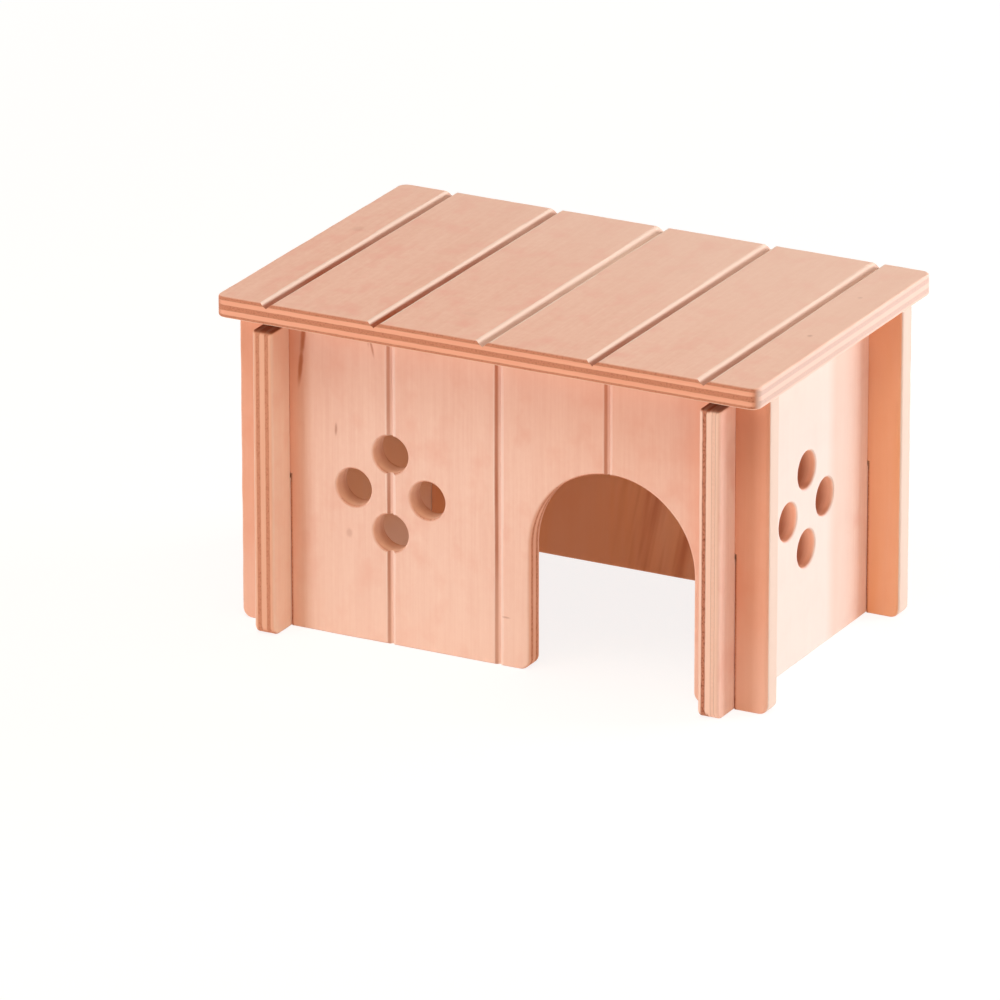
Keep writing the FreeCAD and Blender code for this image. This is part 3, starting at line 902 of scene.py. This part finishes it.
def make_front_wall():
    """The front wall, with its doorway, its vents and its grooves."""
    low, high = boxes["front_wall"]
    middle = (low + high) / 2
    wall, wood = make_long_wall("front_wall", 11.0, doorway_corners(), FRONT_MARKS)
    work(wall, drill, {
        "Count": VENT_COUNT, "Diameter": VENT_DIAMETER, "Spread": VENT_SPREAD,
        "Thickness": high.y - low.y, "Rim": VENT_RIM, "Turn": TO_LONG_WALL,
        "Place": (middle.x + FRONT_VENT_OFFSET, middle.y, FRONT_VENT_HEIGHT), "Material": wood})
    work(wall, rout, {
        "Count": WALL_GROOVE_COUNT,
        "First": first_of(WALL_GROOVE_COUNT, middle.x + WALL_GROOVE_SHIFT),
        "Pitch": GROOVE_PITCH, "Length": high.z - low.z + 2 * CLEARANCE,
        "Width": WALL_GROOVE_WIDTH, "Depth": WALL_GROOVE_DEPTH, "Lip": WALL_GROOVE_LIP,
        "Wander": WALL_GROOVE_WANDER, "Tear": WALL_GROOVE_TEAR, "Seed": 2.0,
        "Place": (0, low.y, middle.z), "Turn": TO_LONG_WALL, "Material": wood})
    take_place_of(wall, "front_wall")


def make_rear_wall():
    """The rear wall, which is plain."""
    wall, _ = make_long_wall("rear_wall", 17.0)
    take_place_of(wall, "rear_wall")


def make_side_wall(node, seed):
    """A side wall.  The right one has vents, and the left one is plain."""
    low, high = boxes[node]
    middle = (low + high) / 2
    outside = -1 if low.x < 0 else 1
    tones = LEFT_WALL_TONES if outside < 0 else RIGHT_WALL_TONES
    wood = make_plywood(f"{node} plywood", node, SIDE_WALL, outside, tones, seed)
    wall = make_board(node, SIDE_WALL, side_wall_corners(node), seed)
    wall.data.materials.append(wood)
    if outside > 0:
        work(wall, drill, {
            "Count": VENT_COUNT, "Diameter": VENT_DIAMETER, "Spread": VENT_SPREAD,
            "Thickness": high.x - low.x, "Rim": VENT_RIM, "Turn": TO_SIDE_WALL,
            "Place": (middle.x, middle.y, SIDE_VENT_HEIGHT), "Material": wood})
    take_place_of(wall, node)


def make_batten(node, seed):
    """A batten glued under the roof, with its grain along it."""
    wood = make_plywood(f"{node} plywood", node, BATTEN, -1, WALL_TONES, seed)
    corners = rectangle(node, X, Y, SAWN_RADIUS, SAWN_RADIUS, BATTEN_ARRIS, BATTEN_ARRIS)
    batten = make_board(node, ROOF, corners, seed)
    batten.data.materials.append(wood)
    take_place_of(batten, node)


make_roof()
make_front_wall()
make_rear_wall()
make_side_wall("left_side_wall", 23.0)
make_side_wall("right_side_wall", 29.0)
make_batten("roof_batten_front", 31.0)
make_batten("roof_batten_rear", 37.0)


# ---- the studio ------------------------------------------------------------------------------

CAMERA_AZIMUTH, CAMERA_ELEVATION, CAMERA_ROLL = 27.728, 20.436, -0.06
CAMERA_DISTANCE = 2.420
CAMERA_SENSOR, CAMERA_LENS = 36, 360.7
CAMERA_REACH = 50
HOUSE_MIDDLE = 42.5 * MM
AIM_LEFT, AIM_BELOW = 18.02 * MM, 12.16 * MM

# each softbox's azimuth, elevation, distance, width, height, watts and tint
LAMPS = {
    "Key": (131, 11, 1.0, 0.55, 0.2, 8.0, (1, 1, 1)),
    "Side": (100, 18, 1.1, 0.8, 0.8, 0.8, (1, 1, 1)),
    "Overhead": (0, 85, 1.3, 1.2, 1.2, 8.2, (1, 0.93, 0.86)),
    "Top front": (10, 60, 1.3, 0.8, 0.8, 3.4, (1, 0.75, 0.4)),
    "Fill": (-33, 6, 1.4, 0.35, 0.5, 5.6, (1, 0.97, 0.93)),
    "Left fill": (-60, 10, 1.4, 0.8, 0.8, 3.7, (1, 0.97, 0.93)),
    "Warm fill": (62, 5, 1.5, 0.8, 0.8, 3.4, (1, 0.68, 0.44)),
}
LAMP_AIM = 0.04

# what the room's walls and the floor give the house, and what shows of the floor
WHITE = (1, 1, 1, 1)
AMBIENT = (0.06, 0.02, 0.01, 1)
FLOOR_GLOW = (0.29, 0.235, 0.195, 1)
FLOOR_WHITE = (0.8, 0.8, 0.8, 1)
SHADOW_GREY = (0.25, 0.25, 0.25, 1)
SHOWN_FLOOR = (0.84, 0.84, 0.84, 1)
FLOOR_FADE = (0.3, 1.2)
FLOOR_REACH = 20.0


def bearing(azimuth, elevation):
    """The direction from the house towards a place round it; azimuth 0 is the front."""
    azimuth, elevation = math.radians(azimuth), math.radians(elevation)
    flat = math.cos(elevation)
    return Vector((math.sin(azimuth) * flat, -math.cos(azimuth) * flat, math.sin(elevation)))


def make_camera():
    """A camera a long way off, in front and to the right, with a long lens."""
    back = bearing(CAMERA_AZIMUTH, CAMERA_ELEVATION)
    right = bearing(CAMERA_AZIMUTH + 90, 0)
    up = back.cross(right)
    aim = Vector((0, 0, HOUSE_MIDDLE)) - right * AIM_LEFT - up * AIM_BELOW
    camera = bpy.data.objects.new("Camera", bpy.data.cameras.new("Camera"))
    turn = Matrix((right, up, back)).transposed().to_4x4()
    roll = Matrix.Rotation(math.radians(CAMERA_ROLL), 4, "Z")
    camera.matrix_world = Matrix.Translation(aim + back * CAMERA_DISTANCE) @ turn @ roll
    camera.data.sensor_width = CAMERA_SENSOR
    camera.data.lens = CAMERA_LENS
    camera.data.clip_end = CAMERA_REACH
    bpy.context.scene.collection.objects.link(camera)
    bpy.context.scene.camera = camera


def make_lamp(name, azimuth, elevation, distance, width, height, watts, tint):
    """A softbox that faces the house."""
    lamp = bpy.data.lights.new(name, "AREA")
    lamp.shape = "RECTANGLE"
    lamp.size = width
    lamp.size_y = height
    lamp.energy = watts
    lamp.color = tint
    softbox = bpy.data.objects.new(name, lamp)
    towards = bearing(azimuth, elevation)
    softbox.location = towards * distance + Vector((0, 0, LAMP_AIM))
    softbox.rotation_euler = towards.to_track_quat("Z", "Y").to_euler()
    bpy.context.scene.collection.objects.link(softbox)


def seen_directly(start):
    """1 for what the camera or a reflection shows, 0 for what only lights other things."""
    camera, glossy, transmission = (
        start.node("ShaderNodeLightPath", out=f"Is {kind} Ray")
        for kind in ("Camera", "Glossy", "Transmission"))
    return camera.math("MAXIMUM", camera, camera.math("MAXIMUM", glossy, transmission))


def make_floor():
    """A white floor, which keeps a soft shadow and runs out into the white backdrop."""
    mesh = bpy.data.meshes.new("Floor")
    corners = [(x * FLOOR_REACH, y * FLOOR_REACH, 0)
               for x, y in ((-1, -1), (1, -1), (1, 1), (-1, 1))]
    mesh.from_pydata(corners, [], [(0, 1, 2, 3)])
    floor = bpy.data.objects.new("Floor", mesh)
    bpy.context.scene.collection.objects.link(floor)
    material = bpy.data.materials.new("Floor white")
    material.use_nodes = True
    tree = material.node_tree
    tree.nodes.clear()
    start = Wire(tree)
    white = start.node("ShaderNodeBsdfDiffuse", None, {"Color": FLOOR_WHITE})
    below = start.node("ShaderNodeEmission", None, {"Color": FLOOR_GLOW})
    lit = start.node("ShaderNodeAddShader", None, {0: white, 1: below})
    faint = start.node("ShaderNodeBsdfDiffuse", None, {"Color": SHADOW_GREY})
    place = split(start.node("ShaderNodeTexCoord", out="Object"))
    distance = (place[X] * place[X] + place[Y] * place[Y]) ** 0.5
    backdrop = blend(rise(distance, *FLOOR_FADE), SHOWN_FLOOR, WHITE)
    glow = start.node("ShaderNodeEmission", None, {"Color": backdrop})
    shown = start.node("ShaderNodeAddShader", None, {0: faint, 1: glow})
    mixed = start.node("ShaderNodeMixShader", None, {0: seen_directly(start), 1: lit, 2: shown})
    output = tree.nodes.new("ShaderNodeOutputMaterial")
    tree.links.new(mixed.socket, output.inputs["Surface"])
    mesh.materials.append(material)


def make_world():
    """A studio whose walls give a soft warm light, white where the camera sees past the floor."""
    world = bpy.data.worlds.new("Studio")
    world.use_nodes = True
    tree = world.node_tree
    tree.nodes.clear()
    start = Wire(tree)
    light = blend(seen_directly(start), AMBIENT, WHITE)
    sky = start.node("ShaderNodeBackground", None, {"Color": light})
    output = tree.nodes.new("ShaderNodeOutputWorld")
    tree.links.new(sky.socket, output.inputs["Surface"])
    bpy.context.scene.world = world


make_camera()
make_floor()
make_world()
for lamp_name, lamp_settings in LAMPS.items():
    make_lamp(lamp_name, *lamp_settings)
bpy.context.scene.view_settings.view_transform = "Standard"
